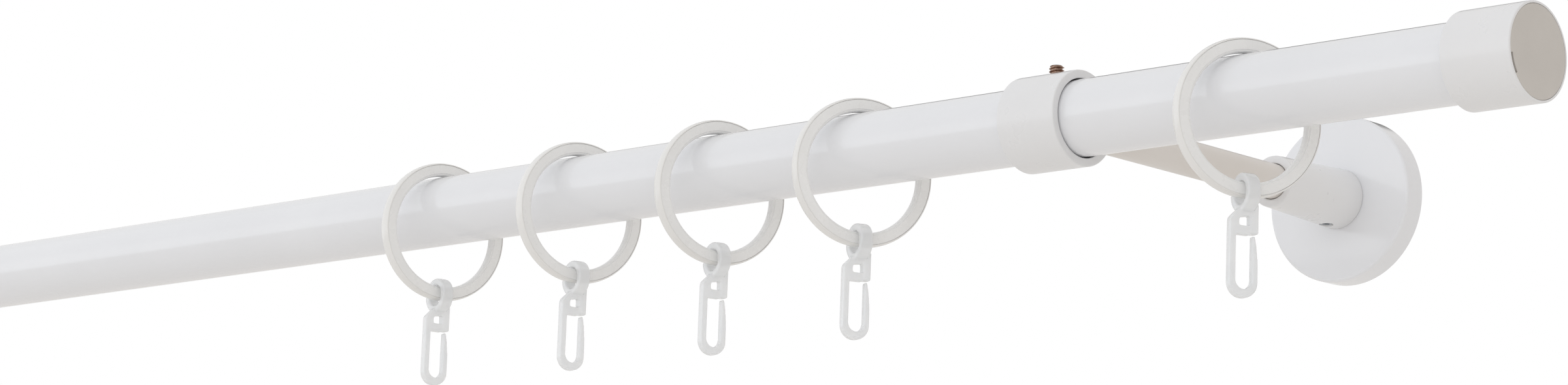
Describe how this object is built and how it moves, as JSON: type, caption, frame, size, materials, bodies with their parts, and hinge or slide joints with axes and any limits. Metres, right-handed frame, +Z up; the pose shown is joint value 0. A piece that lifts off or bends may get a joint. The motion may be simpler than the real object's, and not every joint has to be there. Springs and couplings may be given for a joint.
{
  "type": "curtain rod with brackets",
  "caption": "Round curtain rod held off the wall by telescopic arms on round rosettes, with cylindrical end caps, sliding rings and clear curtain hooks.",
  "frame": {"origin": "on the wall plane, midway between the two brackets, at the height of the rod's axis", "axes": "+X along the rod, +Y into the wall, +Z up"},
  "size_m": [1.2094, 0.1497, 0.0745],
  "materials": {
    "rod_lacquer": "glossy white lacquer on steel tube",
    "fitting_lacquer": "satin white lacquer on die-cast zinc",
    "cap_lacquer": "glossy white lacquer",
    "cap_disc_plastic": "matt moulded plastic, warm white",
    "plug_plastic": "moulded plastic",
    "ring_band_lacquer": "glossy white lacquer on rolled steel band",
    "ring_liner_plastic": "satin moulded plastic",
    "clear_hook_plastic": "clear moulded plastic",
    "zinc_steel": "bright zinc plate",
    "bronze_screw": "copper-toned plate, machined thread"
  },
  "bodies": {
    "wall_mounts": {"wall_plate_left": "zinc_steel", "wall_plate_right": "zinc_steel", "rosette_left": "fitting_lacquer", "rosette_right": "fitting_lacquer", "socket_left": "fitting_lacquer", "socket_right": "fitting_lacquer"},
    "arms": {"arm_left": "fitting_lacquer", "arm_right": "fitting_lacquer", "sleeve_left": "fitting_lacquer", "sleeve_right": "fitting_lacquer", "sleeve_screw_left": "zinc_steel", "sleeve_screw_right": "zinc_steel"},
    "rod": {"rod_tube": "rod_lacquer"},
    "socket_screw_left": {"socket_screw_left": "bronze_screw"},
    "rod_lock_screw_left": {"rod_lock_screw_left": "bronze_screw"},
    "end_cap_left": {"end_cap_left": "cap_lacquer", "cap_disc_left": "cap_disc_plastic", "cap_plug_left": "plug_plastic"},
    "socket_screw_right": {"socket_screw_right": "bronze_screw"},
    "rod_lock_screw_right": {"rod_lock_screw_right": "bronze_screw"},
    "end_cap_right": {"end_cap_right": "cap_lacquer", "cap_disc_right": "cap_disc_plastic", "cap_plug_right": "plug_plastic"},
    "ring_left_1": {"ring_band_left_1": "ring_band_lacquer", "ring_liner_left_1": "ring_liner_plastic"},
    "hook_left_1": {"hook_left_1": "clear_hook_plastic"},
    "ring_left_2": {"ring_band_left_2": "ring_band_lacquer", "ring_liner_left_2": "ring_liner_plastic"},
    "hook_left_2": {"hook_left_2": "clear_hook_plastic"},
    "ring_left_3": {"ring_band_left_3": "ring_band_lacquer", "ring_liner_left_3": "ring_liner_plastic"},
    "hook_left_3": {"hook_left_3": "clear_hook_plastic"},
    "ring_left_4": {"ring_band_left_4": "ring_band_lacquer", "ring_liner_left_4": "ring_liner_plastic"},
    "hook_left_4": {"hook_left_4": "clear_hook_plastic"},
    "ring_left_5": {"ring_band_left_5": "ring_band_lacquer", "ring_liner_left_5": "ring_liner_plastic"},
    "hook_left_5": {"hook_left_5": "clear_hook_plastic"},
    "ring_right_1": {"ring_band_right_1": "ring_band_lacquer", "ring_liner_right_1": "ring_liner_plastic"},
    "hook_right_1": {"hook_right_1": "clear_hook_plastic"},
    "ring_right_2": {"ring_band_right_2": "ring_band_lacquer", "ring_liner_right_2": "ring_liner_plastic"},
    "hook_right_2": {"hook_right_2": "clear_hook_plastic"},
    "ring_right_3": {"ring_band_right_3": "ring_band_lacquer", "ring_liner_right_3": "ring_liner_plastic"},
    "hook_right_3": {"hook_right_3": "clear_hook_plastic"},
    "ring_right_4": {"ring_band_right_4": "ring_band_lacquer", "ring_liner_right_4": "ring_liner_plastic"},
    "hook_right_4": {"hook_right_4": "clear_hook_plastic"},
    "ring_right_5": {"ring_band_right_5": "ring_band_lacquer", "ring_liner_right_5": "ring_liner_plastic"},
    "hook_right_5": {"hook_right_5": "clear_hook_plastic"}
  },
  "joints": [
    {"name": "reach_slide", "type": "slide", "parent": "wall_mounts", "child": "arms", "axis": [0, 1, 0], "range_m": [-0.006, 0.003]},
    {"name": "rod_slide", "type": "slide", "parent": "arms", "child": "rod", "axis": [1, 0, 0], "range_m": [-0.01, 0.01]},
    {"name": "socket_screw_left_travel", "type": "slide", "parent": "wall_mounts", "child": "socket_screw_left", "axis": [0, 0, -1], "range_m": [0, 0.0021]},
    {"name": "rod_lock_screw_left_travel", "type": "slide", "parent": "arms", "child": "rod_lock_screw_left", "axis": [0, 0, 1], "range_m": [0, 0.0021]},
    {"name": "end_cap_left_pull", "type": "slide", "parent": "rod", "child": "end_cap_left", "axis": [-1, 0, 0], "range_m": [0, 0.025]},
    {"name": "socket_screw_right_travel", "type": "slide", "parent": "wall_mounts", "child": "socket_screw_right", "axis": [0, 0, -1], "range_m": [0, 0.0021]},
    {"name": "rod_lock_screw_right_travel", "type": "slide", "parent": "arms", "child": "rod_lock_screw_right", "axis": [0, 0, 1], "range_m": [0, 0.0021]},
    {"name": "end_cap_right_pull", "type": "slide", "parent": "rod", "child": "end_cap_right", "axis": [1, 0, 0], "range_m": [0, 0.025]},
    {"name": "ring_left_1_slide", "type": "slide", "parent": "rod", "child": "ring_left_1", "axis": [1, 0, 0], "range_m": [-0.035, 0.034]},
    {"name": "hook_left_1_swing", "type": "hinge", "parent": "ring_left_1", "child": "hook_left_1", "pos_m": [-0.39205, -0.1295, -0.02495], "axis": [0.3746, -0.9272, 0], "range_deg": [-75, 75]},
    {"name": "ring_left_2_slide", "type": "slide", "parent": "rod", "child": "ring_left_2", "axis": [1, 0, 0], "range_m": [-0.034, 0.04]},
    {"name": "hook_left_2_swing", "type": "hinge", "parent": "ring_left_2", "child": "hook_left_2", "pos_m": [-0.33965, -0.1295, -0.02495], "axis": [0.2588, -0.9659, 0], "range_deg": [-75, 75]},
    {"name": "ring_left_3_slide", "type": "slide", "parent": "rod", "child": "ring_left_3", "axis": [1, 0, 0], "range_m": [-0.04, 0.043]},
    {"name": "hook_left_3_swing", "type": "hinge", "parent": "ring_left_3", "child": "hook_left_3", "pos_m": [-0.28465, -0.1295, -0.02495], "axis": [0.2164, -0.9763, 0], "range_deg": [-75, 75]},
    {"name": "ring_left_4_slide", "type": "slide", "parent": "rod", "child": "ring_left_4", "axis": [1, 0, 0], "range_m": [-0.043, 0.443]},
    {"name": "hook_left_4_swing", "type": "hinge", "parent": "ring_left_4", "child": "hook_left_4", "pos_m": [-0.22805, -0.1295, -0.02495], "axis": [0.1736, -0.9848, 0], "range_deg": [-75, 75]},
    {"name": "ring_left_5_slide", "type": "slide", "parent": "rod", "child": "ring_left_5", "axis": [1, 0, 0], "range_m": [-0.053, 0.03]},
    {"name": "hook_left_5_swing", "type": "hinge", "parent": "ring_left_5", "child": "hook_left_5", "pos_m": [-0.51985, -0.1295, -0.02495], "axis": [0.4147, -0.91, 0], "range_deg": [-75, 75]},
    {"name": "ring_right_1_slide", "type": "slide", "parent": "rod", "child": "ring_right_1", "axis": [1, 0, 0], "range_m": [-0.034, 0.035]},
    {"name": "hook_right_1_swing", "type": "hinge", "parent": "ring_right_1", "child": "hook_right_1", "pos_m": [0.39205, -0.1295, -0.02495], "axis": [-0.3746, -0.9272, 0], "range_deg": [-75, 75]},
    {"name": "ring_right_2_slide", "type": "slide", "parent": "rod", "child": "ring_right_2", "axis": [1, 0, 0], "range_m": [-0.04, 0.034]},
    {"name": "hook_right_2_swing", "type": "hinge", "parent": "ring_right_2", "child": "hook_right_2", "pos_m": [0.33965, -0.1295, -0.02495], "axis": [-0.2588, -0.9659, 0], "range_deg": [-75, 75]},
    {"name": "ring_right_3_slide", "type": "slide", "parent": "rod", "child": "ring_right_3", "axis": [1, 0, 0], "range_m": [-0.043, 0.04]},
    {"name": "hook_right_3_swing", "type": "hinge", "parent": "ring_right_3", "child": "hook_right_3", "pos_m": [0.28465, -0.1295, -0.02495], "axis": [-0.2164, -0.9763, 0], "range_deg": [-75, 75]},
    {"name": "ring_right_4_slide", "type": "slide", "parent": "rod", "child": "ring_right_4", "axis": [1, 0, 0], "range_m": [-0.443, 0.043]},
    {"name": "hook_right_4_swing", "type": "hinge", "parent": "ring_right_4", "child": "hook_right_4", "pos_m": [0.22805, -0.1295, -0.02495], "axis": [-0.1736, -0.9848, 0], "range_deg": [-75, 75]},
    {"name": "ring_right_5_slide", "type": "slide", "parent": "rod", "child": "ring_right_5", "axis": [1, 0, 0], "range_m": [-0.03, 0.053]},
    {"name": "hook_right_5_swing", "type": "hinge", "parent": "ring_right_5", "child": "hook_right_5", "pos_m": [0.51985, -0.1295, -0.02495], "axis": [-0.4147, -0.91, 0], "range_deg": [-75, 75]}
  ]
}
